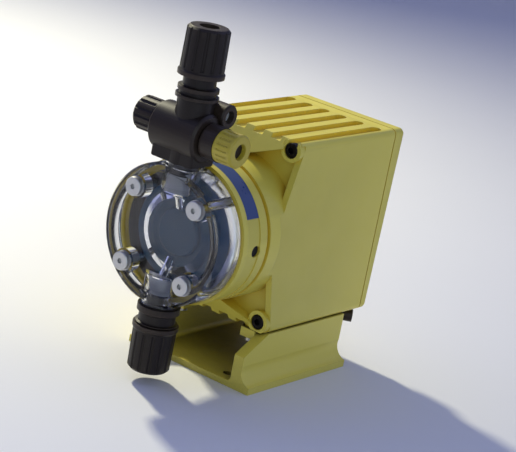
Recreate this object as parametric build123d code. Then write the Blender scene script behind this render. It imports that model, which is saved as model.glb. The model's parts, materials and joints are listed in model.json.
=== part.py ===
"""Solenoid-driven diaphragm metering pump, in millimetres, +Z up.

Origin: centre of the foot's bolt pattern on the floor plane. The liquid end points to -Y,
the control side to +Y, and +X is the right-hand side seen from the liquid end.
"""
from build123d import *
from math import atan2, cos, degrees, radians, sin, sqrt
import os

# ---------------------------------------------------------------- fits
face_gap = 0.3              # between curved faces of separate pieces
running_gap = 0.05          # radial clearance of shafts in their bores
overcut = 1.0               # cuts run past the surfaces that they open by this

# ---------------------------------------------------------------- housing
joint_y = -81.0             # plane where the head meets the spool
body_width = 84.0
body_height = 125.5
body_bottom = 34.6
axis_drop = 1.15            # head and drive axis, below the housing's middle
body_front_y = -30.5        # floor of the four corner pockets
body_rear_y = 69.0          # seam towards the gasket
body_edge_radius = 4.0
wall = 4.5

fin_pitch = 14.0
fin_groove_width = 7.4
fin_groove_depth = 3.0
top_groove_count = 6
bottom_groove_count = 4
rear_strip = 10.0           # ungrooved strip before the seam

ring_step = 0.5             # the round shoulder stands out past the spool by this
ring_front_y = -55.0
ring_length = 10.4
cheek_reach = 14.4          # how far the side walls run forward at the axis
cheek_tip = 3.0             # height of their blunt tip
brow_rise = 0.4             # slope of the brow's lower edges
brow_reach = 13.5           # how far the brow runs forward at the ring
brow_top_reach = 2.0        # how far it runs forward at the top edge
brow_side = 0.6             # least height of the brow at the sides
drive_bore_radius = 24.0

corner_inset_x = 7.5        # corner screws, from the housing's faces
corner_inset_z = 6.25
corner_boss_radius = 7.5
corner_seat = 0.3           # screw seats, forward of the pocket floors
corner_post = 6.5           # half width of the posts around the screws
corner_shank_radius = 2.5
corner_head_radius = 4.7
corner_head_length = 4.2
corner_socket_radius = 2.3
corner_socket_depth = 2.2

# ---------------------------------------------------------------- rear cover
gasket_thickness = 1.0
gasket_inset = 1.4
gasket_band = 6.0
cover_top_y = 81.4
cover_bottom_y = 77.6
cover_edge_radius = 3.8
cover_frame = 15.0          # solid border that takes the screws
cover_cavity_depth = 2.5
cover_screw_depth = 4.5
knob_floor_y = 76.2         # flat floors under the rear knobs

# ---------------------------------------------------------------- foot
foot_length = 104.7
foot_flare = 7.6            # each side, beyond the housing
foot_wall = 7.5
foot_floor = 4.0
foot_lip = 4.5              # upright edge under the flare
foot_cove_top = 16.5        # height where the flare starts
foot_cove_sag = 2.3
foot_nose_height = 22.5
foot_nose_length = 22.0
foot_inner_radius = 3.0
foot_hole_radius = 3.3
foot_hole_x = 25.0
foot_hole_y = 42.0
lug_size = 11.0
lug_thickness = 6.0
lug_y = 30.0
foot_screw_radius = 2.0
foot_screw_head_radius = 3.8
foot_screw_head_length = 2.6
foot_screw_depth = 2.8

# ---------------------------------------------------------------- spool between head and housing
spool_rim = 4.6             # width of the front rim
label_seat_radius = 45.4
label_seat_depth = 0.6
label_width = 11.8
label_thickness = 0.45
label_start = 26.0          # degrees above +X
label_end = 154.0
spool_neck_radius = 44.2
spool_neck_length = 2.6
spool_room_radius = 26.4    # room behind the diaphragm
spool_room_depth = 18.5
spool_web = 8.0             # web that holds the shaft seal
spool_bore_radius = 12.4
spool_screw_circle = 18.0
spool_screw_radius = 2.0
spool_screw_head_radius = 3.6
spool_screw_head_length = 3.0
spool_screw_depth = 5.0
vent_radius = 3.7
vent_offset = 13.6          # from the joint plane
vent_plug_recess = 1.2
vent_plug_length = 8.0
backing_ring_radius = 39.0
backing_ring_depth = 3.0

# ---------------------------------------------------------------- clear head
head_step = 1.5             # the spool stands out past the head by this
head_thickness = 23.4
head_rim = 5.9
head_recess_depth = 6.4
head_edge = 1.6
head_flat_depth = 1.6       # flats over and under the port tubes
head_screw_offset = 24.0
head_boss_radius = 7.6
head_screw_radius = 2.6
head_screw_head_radius = 5.9
head_screw_head_length = 3.2
head_screw_socket_radius = 1.8
head_screw_socket_depth = 2.0
head_screw_depth = 10.0
washer_radius = 6.3
washer_thickness = 0.8
port_radius = 11.7          # clear tubes that hold the valve cartridges
port_bore_radius = 9.6
tube_start = 26.0           # from the axis
port_step = 0.5             # the port tubes end short of the spool's rim by this
passage_radius = 3.0
chamber_radius = 26.5
chamber_floor_radius = 21.0
chamber_depth = 4.6
passage_entry = 17.0        # where the passages meet the chamber, from the axis

# ---------------------------------------------------------------- diaphragm and drive
diaphragm_radius = 31.0
diaphragm_rim = 3.0
diaphragm_rim_width = 4.8
diaphragm_web = 1.4
diaphragm_fold = 1.0
diaphragm_face_radius = 15.3
diaphragm_face_rise = 2.2
stud_radius = 3.4
stud_length = 2.6
plate_radius = 14.0
plate_thickness = 3.0
shaft_radius = 4.0
seal_radius = 8.0
seal_thickness = 4.0
frame_radius = 33.0         # steel pole frame
frame_wall = 5.0
frame_length = 54.0
frame_plate = 7.0
frame_cap = 6.0
bushing_radius = 9.0
bushing_flange_radius = 11.6
bushing_flange = 2.0
bobbin_radius = 14.6
bobbin_wall = 1.4
bobbin_length = 36.0
bobbin_flange = 2.0
armature_radius = 13.0
armature_length = 28.0
spring_space = 10.0         # between the frame's plate and the armature
spring_radius = 7.4
spring_wire = 0.8
spring_turns = 4.0
stop_radius = 3.5
stop_clearance = 1.5        # stop tip to armature, both at rest
board_thickness = 1.6
board_width = 60.0
board_length = 76.0
board_rear_y = 62.0
board_post_radius = 3.0
board_post_inset = 7.5
board_screw_radius = 1.2
board_screw_head_radius = 2.4
board_screw_head_length = 1.6
board_screw_depth = 6.0

# ---------------------------------------------------------------- rear controls
stroke_knob_radius = 13.0
stroke_knob_length = 15.0
stroke_hub_radius = 6.4
speed_knob_radius = 9.0
speed_knob_length = 13.0
knob_flute_count = 12
knob_flute_radius = 1.4
knob_dome = 1.2
knob_cap_wall = 3.0
knob_well_gap = 1.5
knob_lift = 0.4
speed_knob_inset = 26.9     # below the housing's top
speed_stem_radius = 3.0
pot_radius = 7.4
pot_length = 10.0
pot_gap = 1.0
lens_border = 0.6           # between the lens flange and the cover's border
lens_radius = 3.0
lens_flange_radius = 4.4
lens_flange = 1.0
lens_proud = 0.8
gland_side_inset = 21.0     # from the housing's side
gland_rear_inset = 9.0      # from the seam
gland_radius = 6.2
gland_length = 13.0
gland_shank_radius = 3.9
gland_bore_radius = 2.6
gland_nut_radius = 6.4
gland_nut_length = 3.4
gland_nozzle_radius = 4.2
gland_nozzle_reach = (15.5, 11.5, 0.0)
gland_nozzle_drop = 6.5     # nozzle axis under the housing

# ---------------------------------------------------------------- valve cartridges
valve_offset = 11.7         # valve axis in front of the joint plane
cartridge_start = 27.5      # from the drive axis, above and below
cartridge_radius = 9.4
ball_radius = 3.2
seat_length = 3.0
seat_bore_radius = 2.4
guide_length = 8.0          # cage around the ball, above its seat
guide_bore_radius = 4.4
guide_bar = 1.2             # bar that stops the ball
seal_ring_length = 1.2
seal_ring_bore_radius = 6.4
spigot_radius = 9.3
flow_radius = 3.4

nut_length = 30.0
nut_base_radius = 13.6
nut_tip_radius = 13.2
nut_skirt_radius = 14.4
nut_skirt = 3.6
nut_groove_count = 14
nut_groove_radius = 1.1
nut_groove_start = 1.0      # above the skirt
nut_edge = 1.6
nut_inner_radius = 9.8
nut_mouth_radius = 6.2
nut_mouth_length = 7.0
stub_radius = 9.4
nozzle_flange_radius = 8.6
nozzle_flange = 2.5
nozzle_length = 2.4
nozzle_tip_radius = 3.2
nozzle_root_radius = 4.4
nozzle_bore_radius = 2.2
clamp_radius = 9.4
clamp_inner_radius = 5.4

suction_body_length = 11.5
suction_body_radius = 13.4
suction_waist_radius = 11.6
suction_waist = 4.0
suction_nut_gap = 0.8

# ---------------------------------------------------------------- four-function valve
valve_block_left = 19.0     # block under the arm, from the column axis
valve_block_right = 13.0
valve_block_half = 11.0     # half its depth
valve_block_edge = 1.5
arm_height = 63.5
arm_radius = 15.2
arm_left = 22.0
arm_right = 14.0
arm_edge = 1.6
column_radius = 11.6
column_top = 85.4
thread_flange_radius = 13.3
thread_flange = 2.4
thread_groove_radius = 11.2
second_flange = 90.4        # second flange, above the drive axis
second_flange_radius = 12.7
neck_radius = 10.2
discharge_nut_start = 99.5
room_radius = 8.0           # rooms in the arm behind the two knobs
relief_room_floor = 9.0     # from the column axis
siphon_room_floor = 4.6
port_link_radius = 1.6
poppet_length = 2.0
valve_spring_radius = 5.2
valve_spring_wire = 0.6
valve_spring_turns = 3.0
valve_spring_length = 5.0
relief_rise = 2.4           # relief knob's axis above the arm's
relief_knob_radius = 10.9
relief_knob_length = 16.0
relief_flute_count = 14
relief_flute_radius = 1.3
relief_edge = 1.6
siphon_knob_radius = 10.3
siphon_knob_length = 13.6
siphon_hub_radius = 10.8
siphon_hub_length = 11.2     # from the arm to the yellow knob
siphon_bore_radius = 5.0
siphon_groove_count = 18
siphon_groove_radius = 0.7
siphon_edge = 1.0
stem_recess = 3.0
knob_gap = 0.4
return_port_y = 14.0        # behind the column axis
return_port_height = 77.0
return_port_radius = 7.2
return_port_start = -7.0
return_port_end = 5.2
return_stub_radius = 5.0
return_stub = 4.5
return_nut_radius = 7.6
return_nut_length = 10.8
return_nut_edge = 0.8
return_mouth_radius = 4.0
return_mouth_length = 4.0
return_bore_radius = 2.0
return_flange = 1.6

# ---------------------------------------------------------------- derived places
body_half = body_width / 2
corner_x = body_half - corner_inset_x
corner_z = body_height / 2 - corner_inset_z
lens_x = body_half - cover_frame - lens_flange_radius - lens_border
gland_x = body_half - gland_side_inset
gland_y = body_rear_y - gland_rear_inset
spool_radius = label_seat_radius + label_seat_depth
ring_radius = spool_radius + ring_step
head_radius = spool_radius - head_step
head_recess_radius = head_radius - head_rim
head_flat = head_radius - head_flat_depth
port_end = spool_radius - port_step
body_top = body_bottom + body_height
body_mid_z = body_bottom + body_height / 2
axis_z = body_mid_z - axis_drop
inner_front_y = body_front_y + wall
corner_seat_y = body_front_y - corner_seat
corner_boss_y = corner_seat_y - corner_head_length
ceiling_z = body_top - wall
floor_z = body_bottom + wall
cover_front_y = body_rear_y + gasket_thickness
cover_cavity_y = cover_front_y + cover_cavity_depth
valve_y = joint_y - valve_offset
head_front_y = joint_y - head_thickness
head_recess_y = head_front_y + head_recess_depth
valve_clear = spool_radius + face_gap
cartridge_end = cartridge_start + seat_length + guide_length + seal_ring_length
collar_radius = valve_offset - face_gap
frame_front_y = inner_front_y
frame_rear_y = frame_front_y + frame_length
armature_front_y = frame_front_y + frame_plate + spring_space
armature_rear_y = armature_front_y + armature_length
plate_front_y = joint_y + diaphragm_rim - diaphragm_face_rise / 2
arm_z = axis_z + arm_height
relief_z = arm_z + relief_rise
speed_z = body_top - speed_knob_inset
board_top_z = speed_z + pot_radius + board_thickness
corners = [(sx * corner_x, body_mid_z + sz * corner_z) for sx in (-1, 1) for sz in (-1, 1)]
head_screw_places = [
    (sx * head_screw_offset, axis_z + sz * head_screw_offset) for sx in (-1, 1) for sz in (-1, 1)
]
spool_screw_places = [
    (spool_screw_circle * cos(radians(a)), axis_z + spool_screw_circle * sin(radians(a)))
    for a in (45, 135, 225, 315)
]
lug_x = body_half - foot_wall - lug_size / 2
lug_places = [(sx * lug_x, sy * lug_y) for sx in (-1, 1) for sy in (-1, 1)]
foot_holes = [(sx * foot_hole_x, sy * foot_hole_y) for sx in (-1, 1) for sy in (-1, 1)]
board_posts = [
    (sx * (board_width / 2 - board_post_inset), y)
    for sx in (-1, 1)
    for y in (board_rear_y - board_post_inset, board_rear_y - board_length + board_post_inset)
]


# ---------------------------------------------------------------- shape helpers
def rod(radius, start, end):
    """Cylinder from one point to another."""
    a, b = Vector(*start), Vector(*end)
    return Part() + Solid.make_cylinder(radius, (b - a).length, Plane(origin=a, z_dir=(b - a).normalized()))


def block(x0, x1, y0, y1, z0, z1):
    """Box from its limits, given in any order."""
    middle = Pos((x0 + x1) / 2, (y0 + y1) / 2, (z0 + z1) / 2)
    return middle * Box(abs(x1 - x0), abs(y1 - y0), abs(z1 - z0))


def outline(*points):
    return make_face(Polyline(*points, close=True))


def turned_x(*points, y=valve_y, z=arm_z):
    """Body of revolution about a line along X, from (x, radius) points."""
    return Pos(0, y, z) * revolve(outline(*points), Axis.X)


def turned_y(*points, x=0.0, z=axis_z):
    """Body of revolution about a line along Y, from (radius, y) points."""
    return Pos(x, 0, z) * revolve(outline(*points), Axis.Y)


def turned_z(*points, x=0.0, y=valve_y):
    """Body of revolution about a line along Z, from (radius, z) points."""
    return Pos(x, y, 0) * revolve(Plane.XZ * outline(*points), Axis.Z)


def across_y(y):
    """Sketch plane at y whose drawing axes are X and Z and whose normal is -Y."""
    return Plane(origin=(0, y, 0), x_dir=(1, 0, 0), z_dir=(0, -1, 0))


def body_prism(y0, y1, inset=0.0):
    """Rounded section of the housing between two planes across Y."""
    section = RectangleRounded(
        body_width - 2 * inset, body_height - 2 * inset, max(body_edge_radius - inset, 0.8)
    )
    return extrude(across_y(y1) * Pos(0, body_mid_z) * section, amount=y1 - y0)


def groove_positions(count):
    return [(i - (count - 1) / 2) * fin_pitch for i in range(count)]


def coil_spring(radius, wire, turns, start, direction, length):
    """Helical spring that fills the given length from its starting plane."""
    rise = length - 2 * wire
    path = Helix(pitch=rise / turns, height=rise, radius=radius)
    loop = sweep(Plane(origin=path @ 0, z_dir=path % 0) * Circle(wire), path)
    base = Plane(origin=start, z_dir=direction)
    return base * (Pos(0, 0, wire) * loop)


def fluted_x(shape, radius, count, flute, start, end, z):
    """Shape with round flutes cut along its rim, parallel to X."""
    for i in range(count):
        a = radians(360 * i / count)
        u, v = valve_y + radius * cos(a), z + radius * sin(a)
        shape -= rod(flute, (start, u, v), (end, u, v))
    return shape


def fluted_y(shape, radius, count, flute, start, end, z):
    """Shape with round flutes cut along its rim, parallel to Y."""
    for i in range(count):
        a = radians(360 * i / count)
        u, v = radius * cos(a), z + radius * sin(a)
        shape -= rod(flute, (u, start, v), (u, end, v))
    return shape


def socket_screw(x, z, seat_y, tip_y, shank, head, head_length, socket, socket_depth):
    """Hexagon socket screw along Y, head towards -Y."""
    screw = rod(head, (x, seat_y - head_length, z), (x, seat_y, z))
    screw = chamfer(screw.faces().sort_by(Axis.Y)[0].edges(), 0.5)
    screw += rod(shank, (x, seat_y, z), (x, tip_y, z))
    face = across_y(seat_y - head_length) * Pos(x, z) * RegularPolygon(socket, 6)
    return screw - extrude(face, amount=-socket_depth)


def export(name, shape):
    export_step(shape, f"parts/{name}.step")


# ---------------------------------------------------------------- housing, cover and foot
def brow(sign):
    """Sloping hood from the box to the ring, above (+1) or below (-1) the axis."""
    edge_z = body_top if sign > 0 else body_bottom
    inner_z = axis_z + sign * (ring_radius - overcut)
    side_z = inner_z + sign * brow_rise * body_half
    side_z = sign * min(sign * side_z, sign * edge_z - brow_side)
    face = outline(
        (-body_half, side_z), (0, inner_z), (body_half, side_z),
        (body_half, edge_z), (-body_half, edge_z),
    )
    hood = extrude(across_y(body_front_y) * face, amount=brow_reach)
    tip_y = body_front_y - brow_reach
    wedge = outline(
        (tip_y, inner_z), (body_front_y - brow_top_reach, edge_z),
        (body_front_y - brow_top_reach, edge_z + sign * overcut), (tip_y - overcut, edge_z + sign * overcut),
        (tip_y - overcut, inner_z),
    )
    hood -= extrude(Plane.YZ * wedge, amount=body_half + overcut, both=True)
    return hood & body_prism(tip_y, body_front_y)


def cheek(sign):
    """Side wall run forward to a blunt tip at the ring."""
    tip_y = body_front_y - cheek_reach
    face = outline(
        (body_front_y, body_bottom + body_edge_radius),
        (tip_y, axis_z - cheek_tip / 2),
        (tip_y, axis_z + cheek_tip / 2),
        (body_front_y, body_top - body_edge_radius),
    )
    return Pos(sign * (body_half - wall / 2), 0, 0) * extrude(Plane.YZ * face, amount=wall / 2, both=True)


def drive_housing():
    body = body_prism(body_front_y, body_rear_y)
    shoulder = rod(ring_radius, (0, ring_front_y, axis_z), (0, inner_front_y, axis_z))
    body += shoulder & body_prism(ring_front_y, inner_front_y)
    body += rod(ring_radius, (0, ring_front_y, axis_z), (0, ring_front_y + ring_length, axis_z))
    for sign in (-1, 1):
        body += cheek(sign)
        body += brow(sign)
    for x, z in corners:
        boss = rod(corner_boss_radius, (x, body_front_y, z), (x, corner_boss_y, z))
        body += boss & body_prism(corner_boss_y, body_front_y)
        body -= rod(corner_head_radius + face_gap, (x, corner_seat_y, z), (x, corner_seat_y - cheek_reach, z))

    cavity = body_prism(inner_front_y, body_rear_y, inset=wall)
    for sx in (-1, 1):
        for z, edge_z in ((corner_z - corner_post, body_height / 2), (corner_post - corner_z, -body_height / 2)):
            cavity -= block(
                sx * (corner_x - corner_post), sx * body_half,
                inner_front_y, body_rear_y, body_mid_z + z, body_mid_z + edge_z,
            )
    body -= cavity
    body -= rod(drive_bore_radius, (0, ring_front_y, axis_z), (0, inner_front_y, axis_z))

    groove_front_y = body_front_y - brow_reach - fin_groove_width
    groove_rear_y = body_rear_y - rear_strip
    slot = SlotOverall(groove_rear_y - groove_front_y, fin_groove_width)
    slot = Pos(0, (groove_rear_y + groove_front_y) / 2) * Rot(0, 0, 90) * slot
    groove_reach = 2 * fin_groove_depth
    for x in groove_positions(top_groove_count):
        body -= Pos(x, 0, body_top - fin_groove_depth) * extrude(slot, amount=groove_reach)
    for x in groove_positions(bottom_groove_count):
        body -= Pos(x, 0, body_bottom + fin_groove_depth) * extrude(slot, amount=-groove_reach)

    for x, z in corners:
        body -= rod(corner_shank_radius + face_gap, (x, corner_seat_y, z), (x, body_rear_y, z))
    for x, y in lug_places:
        body -= rod(foot_screw_radius + running_gap, (x, y, body_bottom), (x, y, body_bottom + foot_screw_depth))
    for x, y in board_posts:
        body += rod(board_post_radius, (x, y, board_top_z), (x, y, ceiling_z))
        body -= rod(board_screw_radius + running_gap, (x, y, board_top_z), (x, y, board_top_z + board_screw_depth))
    return body - rod(
        gland_shank_radius + running_gap, (gland_x, gland_y, body_bottom - overcut),
        (gland_x, gland_y, floor_z + overcut),
    )


def rear_gasket():
    gasket = body_prism(body_rear_y, cover_front_y, inset=gasket_inset)
    opening = body_prism(body_rear_y, cover_front_y, inset=gasket_band)
    for x, z in corners:
        keep = corner_post if x > 0 else -corner_post
        opening -= block(x - keep, x + keep, body_rear_y, cover_front_y, z - corner_post, z + corner_post)
    gasket -= opening
    for x, z in corners:
        gasket -= rod(corner_shank_radius + face_gap, (x, body_rear_y, z), (x, cover_front_y, z))
    return gasket


def rear_cover():
    cover = body_prism(cover_front_y, cover_top_y)
    slope = outline(
        (cover_bottom_y, body_bottom), (cover_top_y, body_top),
        (cover_top_y + overcut, body_top), (cover_top_y + overcut, body_bottom),
    )
    cover -= extrude(Plane.YZ * slope, amount=body_half, both=True)
    cover = fillet(cover.faces().sort_by(Axis.Y)[-1].edges(), cover_edge_radius)
    cover -= body_prism(cover_front_y, cover_cavity_y, inset=cover_frame)
    wells = (
        (0, axis_z, stroke_knob_radius, stroke_hub_radius),
        (0, speed_z, speed_knob_radius, speed_stem_radius),
    )
    for x, z, knob, bore in wells:
        cover -= rod(knob + knob_well_gap, (x, knob_floor_y, z), (x, cover_top_y + overcut, z))
        cover -= rod(bore + running_gap, (x, cover_cavity_y, z), (x, knob_floor_y, z))
    cover -= rod(lens_radius + running_gap, (lens_x, cover_cavity_y, speed_z), (lens_x, cover_top_y + overcut, speed_z))
    for x, z in corners:
        cover -= rod(corner_shank_radius + running_gap, (x, cover_front_y, z), (x, cover_front_y + cover_screw_depth, z))
    return cover


def corner_screws():
    tip_y = cover_front_y + cover_screw_depth - running_gap
    return Compound([
        socket_screw(x, z, corner_seat_y, tip_y, corner_shank_radius, corner_head_radius, corner_head_length,
                     corner_socket_radius, corner_socket_depth).solid()
        for x, z in corners
    ])


def base_foot():
    half = body_half + foot_flare
    inner = body_half - foot_wall
    middle = Vector((half + body_half) / 2, (foot_lip + foot_cove_top) / 2)
    cove = ThreePointArc(
        (half, foot_lip), (middle.X - foot_cove_sag, middle.Y - foot_cove_sag), (body_half, foot_cove_top)
    )
    right = Polyline((0, 0), (half, 0), (half, foot_lip)) + cove + Polyline(
        (body_half, foot_cove_top), (body_half, body_bottom), (inner, body_bottom), (inner, foot_floor),
        (0, foot_floor), (0, 0),
    )
    section = make_face(right)
    section += mirror(section, Plane.YZ)
    foot = extrude(across_y(foot_length / 2) * section, amount=foot_length)
    nose_y = -foot_length / 2
    nose = outline(
        (nose_y - overcut, foot_nose_height), (nose_y, foot_nose_height),
        (nose_y + foot_nose_length, body_bottom), (nose_y - overcut, body_bottom),
    )
    foot -= extrude(Plane.YZ * nose, amount=half, both=True)
    foot = fillet(
        foot.edges().filter_by(Axis.Y).filter_by(
            lambda e: abs(abs(e.center().X) - inner) < 0.01 and abs(e.center().Z - foot_floor) < 0.01
        ),
        foot_inner_radius,
    )
    for x, y in lug_places:
        side = inner if x > 0 else -inner
        near = side - lug_size if x > 0 else side + lug_size
        foot += block(near, side, y - lug_size / 2, y + lug_size / 2, body_bottom - lug_thickness, body_bottom)
        foot -= rod(foot_screw_radius + face_gap, (x, y, body_bottom - lug_thickness), (x, y, body_bottom))
    for x, y in foot_holes:
        foot -= rod(foot_hole_radius, (x, y, 0), (x, y, foot_floor))
    return foot


def foot_screws():
    seat_z = body_bottom - lug_thickness
    tip_z = body_bottom + foot_screw_depth - running_gap
    return Compound([
        (rod(foot_screw_head_radius, (x, y, seat_z - foot_screw_head_length), (x, y, seat_z))
         + rod(foot_screw_radius, (x, y, seat_z), (x, y, tip_z))).solid()
        for x, y in lug_places
    ])


def cord_gland():
    """Elbow gland under the housing, with its outlet turned to the rear right corner."""
    nozzle_z = body_bottom - gland_nozzle_drop
    start = Vector(gland_x, gland_y, nozzle_z)
    reach = Vector(*gland_nozzle_reach)
    gland = rod(gland_radius, (gland_x, gland_y, body_bottom - gland_length), (gland_x, gland_y, body_bottom))
    gland = fillet(gland.faces().sort_by(Axis.Z)[0].edges(), gland_radius / 3)
    gland += rod(gland_shank_radius, (gland_x, gland_y, body_bottom), (gland_x, gland_y, floor_z + gland_nut_length))
    gland += rod(gland_nozzle_radius, start, start + reach)
    gland -= rod(gland_bore_radius, start, start + reach)
    return gland - rod(gland_bore_radius, start, (gland_x, gland_y, floor_z + gland_nut_length))


def gland_nut():
    ring = extrude(
        Pos(gland_x, gland_y, floor_z) * RegularPolygon(gland_nut_radius, 6), amount=gland_nut_length
    )
    return ring - rod(gland_shank_radius + running_gap, (gland_x, gland_y, floor_z),
                      (gland_x, gland_y, floor_z + gland_nut_length))


# ---------------------------------------------------------------- spool and head
def spool():
    y = joint_y
    web_rear = spool_room_depth + spool_web
    neck_front = ring_front_y - spool_neck_length
    seat_front, seat_rear = y + spool_rim, y + spool_rim + label_width
    seal_bore = seal_radius + running_gap
    body = turned_y(
        (spool_room_radius, y + diaphragm_rim), (diaphragm_radius + face_gap, y + diaphragm_rim),
        (backing_ring_radius, y + backing_ring_depth), (backing_ring_radius, y),
        (spool_radius, y), (spool_radius, seat_front), (label_seat_radius, seat_front),
        (label_seat_radius, seat_rear), (spool_radius, seat_rear), (spool_radius, neck_front),
        (spool_neck_radius, neck_front), (spool_neck_radius, ring_front_y),
        (drive_bore_radius - running_gap, ring_front_y), (drive_bore_radius - running_gap, frame_front_y),
        (spool_bore_radius, frame_front_y), (spool_bore_radius, y + web_rear),
        (shaft_radius + face_gap, y + web_rear), (shaft_radius + face_gap, y + spool_room_depth + seal_thickness),
        (seal_bore, y + spool_room_depth + seal_thickness), (seal_bore, y + spool_room_depth),
        (spool_room_radius, y + spool_room_depth),
    )
    for x, z in head_screw_places:
        body -= rod(head_screw_radius + running_gap, (x, y, z), (x, y + head_screw_depth, z))
    for x, z in spool_screw_places:
        body -= rod(spool_screw_radius + face_gap, (x, y + spool_room_depth, z), (x, frame_front_y, z))
    vent_y = y + vent_offset
    return body - rod(vent_radius, (0, vent_y, axis_z), (spool_radius + overcut, vent_y, axis_z))


def vent_plug():
    y = joint_y + vent_offset
    end = label_seat_radius - vent_plug_recess
    return rod(vent_radius - running_gap, (end - vent_plug_length, y, axis_z), (end, y, axis_z))


def spool_screws():
    seat_y = joint_y + spool_room_depth
    tip_y = frame_front_y + spool_screw_depth - running_gap
    return Compound([
        (rod(spool_screw_head_radius, (x, seat_y - spool_screw_head_length, z), (x, seat_y, z))
         + rod(spool_screw_radius, (x, seat_y, z), (x, tip_y, z))).solid()
        for x, z in spool_screw_places
    ])


def label_band():
    """Bare band around the top of the spool."""
    y0 = joint_y + spool_rim + running_gap
    y1 = y0 + label_width - 2 * running_gap
    band = outline(
        (label_seat_radius, y0), (label_seat_radius + label_thickness, y0),
        (label_seat_radius + label_thickness, y1), (label_seat_radius, y1),
    )
    band = revolve(band, Axis.Y, label_end - label_start)
    return Pos(0, 0, axis_z) * Rot(0, -label_end, 0) * band


def backing_ring():
    y0, y1 = joint_y, joint_y + backing_ring_depth
    inner, outer = diaphragm_radius + face_gap, backing_ring_radius - running_gap
    ring = turned_y((inner, y0), (outer, y0), (outer, y1), (inner, y1))
    for x, z in head_screw_places:
        ring -= rod(head_screw_radius + face_gap, (x, y0, z), (x, y1, z))
    return ring


def pump_head():
    head = turned_y(
        (0, joint_y - chamber_depth), (chamber_floor_radius, joint_y - chamber_depth), (chamber_radius, joint_y),
        (head_radius - head_edge, joint_y), (head_radius, joint_y - head_edge),
        (head_radius, head_front_y + head_edge), (head_radius - head_edge, head_front_y),
        (head_recess_radius, head_front_y), (head_recess_radius, head_recess_y), (0, head_recess_y),
    )
    top, bottom = axis_z + port_end + overcut, axis_z - port_end - overcut
    tubes = rod(port_radius, (0, valve_y, axis_z + tube_start), (0, valve_y, top))
    tubes += rod(port_radius, (0, valve_y, axis_z - tube_start), (0, valve_y, bottom))
    head += tubes & rod(head_radius - head_edge, (0, head_front_y, axis_z), (0, valve_y, axis_z))
    for sign in (-1, 1):
        flat = axis_z + sign * head_flat
        head -= block(-head_radius, head_radius, head_front_y, joint_y, flat, flat + sign * head_radius)
        head += rod(collar_radius, (0, valve_y, flat - sign), (0, valve_y, axis_z + sign * port_end))
    for x, z in head_screw_places:
        head += rod(head_boss_radius, (x, head_front_y, z), (x, head_recess_y, z))
        head -= rod(head_screw_radius + face_gap, (x, head_front_y, z), (x, joint_y, z))
    for sign, end in ((1, top), (-1, bottom)):
        start_z = axis_z + sign * cartridge_start
        entry = (0, joint_y - chamber_depth + passage_radius / 2, axis_z + sign * passage_entry)
        head -= rod(port_bore_radius, (0, valve_y, start_z), (0, valve_y, end))
        head -= rod(passage_radius, entry, (0, valve_y, start_z + sign * passage_radius / 2))
    return head


def head_screws():
    seat_y = head_front_y - washer_thickness
    tip_y = joint_y + head_screw_depth - running_gap
    return Compound([
        socket_screw(x, z, seat_y, tip_y, head_screw_radius, head_screw_head_radius, head_screw_head_length,
                     head_screw_socket_radius, head_screw_socket_depth).solid()
        for x, z in head_screw_places
    ])


def head_washers():
    y0, y1 = head_front_y - washer_thickness, head_front_y
    inner = head_screw_radius + face_gap
    return Compound([
        turned_y((inner, y0), (washer_radius, y0), (washer_radius, y1), (inner, y1), x=x, z=z).solid()
        for x, z in head_screw_places
    ])


# ---------------------------------------------------------------- diaphragm and drive
def diaphragm():
    rear = joint_y + diaphragm_rim
    inner_rim = diaphragm_radius - diaphragm_rim_width
    front = joint_y - diaphragm_face_rise
    web_front = joint_y + diaphragm_fold
    fold_radius = (diaphragm_face_radius + inner_rim) / 2
    return turned_y(
        (0, front), (diaphragm_face_radius - 1, front), (diaphragm_face_radius, front + 1),
        (diaphragm_face_radius, web_front), (fold_radius, joint_y), (inner_rim, web_front),
        (inner_rim + 0.4, joint_y), (diaphragm_radius, joint_y), (diaphragm_radius, rear), (inner_rim, rear),
        (inner_rim - 0.4, web_front + diaphragm_web), (fold_radius, joint_y + diaphragm_web),
        (diaphragm_face_radius, web_front + diaphragm_web), (diaphragm_face_radius, plate_front_y),
        (stud_radius + running_gap, plate_front_y), (stud_radius + running_gap, plate_front_y - stud_length),
        (0, plate_front_y - stud_length),
    )


def diaphragm_plate():
    y0, y1 = plate_front_y, plate_front_y + plate_thickness
    bore = shaft_radius + running_gap
    return turned_y((stud_radius + running_gap, y0), (plate_radius, y0), (plate_radius, y1 - 1),
                    (plate_radius - 1, y1), (bore, y1), (bore, y0 + 1), (stud_radius + running_gap, y0 + 1))


def drive_shaft():
    y0 = plate_front_y
    return turned_y(
        (0, y0 - stud_length + running_gap), (stud_radius, y0 - stud_length + running_gap),
        (stud_radius, y0 + 1), (shaft_radius, y0 + 1),
        (shaft_radius, armature_front_y + armature_length / 2), (0, armature_front_y + armature_length / 2),
    )


def armature():
    y0, y1 = armature_front_y, armature_rear_y
    bore = shaft_radius + running_gap
    middle = (y0 + y1) / 2
    return turned_y((bore, y0), (armature_radius - 1, y0), (armature_radius, y0 + 1), (armature_radius, y1),
                    (0, y1), (0, middle), (bore, middle))


def shaft_seal():
    y0 = joint_y + spool_room_depth
    y1 = y0 + seal_thickness
    inner = shaft_radius + running_gap
    return turned_y((inner, y0), (seal_radius, y0), (seal_radius, y1), (inner, y1))


def shaft_bushing():
    y0, y1 = frame_front_y, frame_front_y + frame_plate
    inner = shaft_radius + running_gap
    return turned_y(
        (inner, y0 - bushing_flange), (bushing_flange_radius, y0 - bushing_flange), (bushing_flange_radius, y0),
        (bushing_radius, y0), (bushing_radius, y1), (inner, y1),
    )


def return_spring():
    return coil_spring(spring_radius, spring_wire, spring_turns,
                       (0, frame_front_y + frame_plate, axis_z), (0, 1, 0), spring_space)


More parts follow.
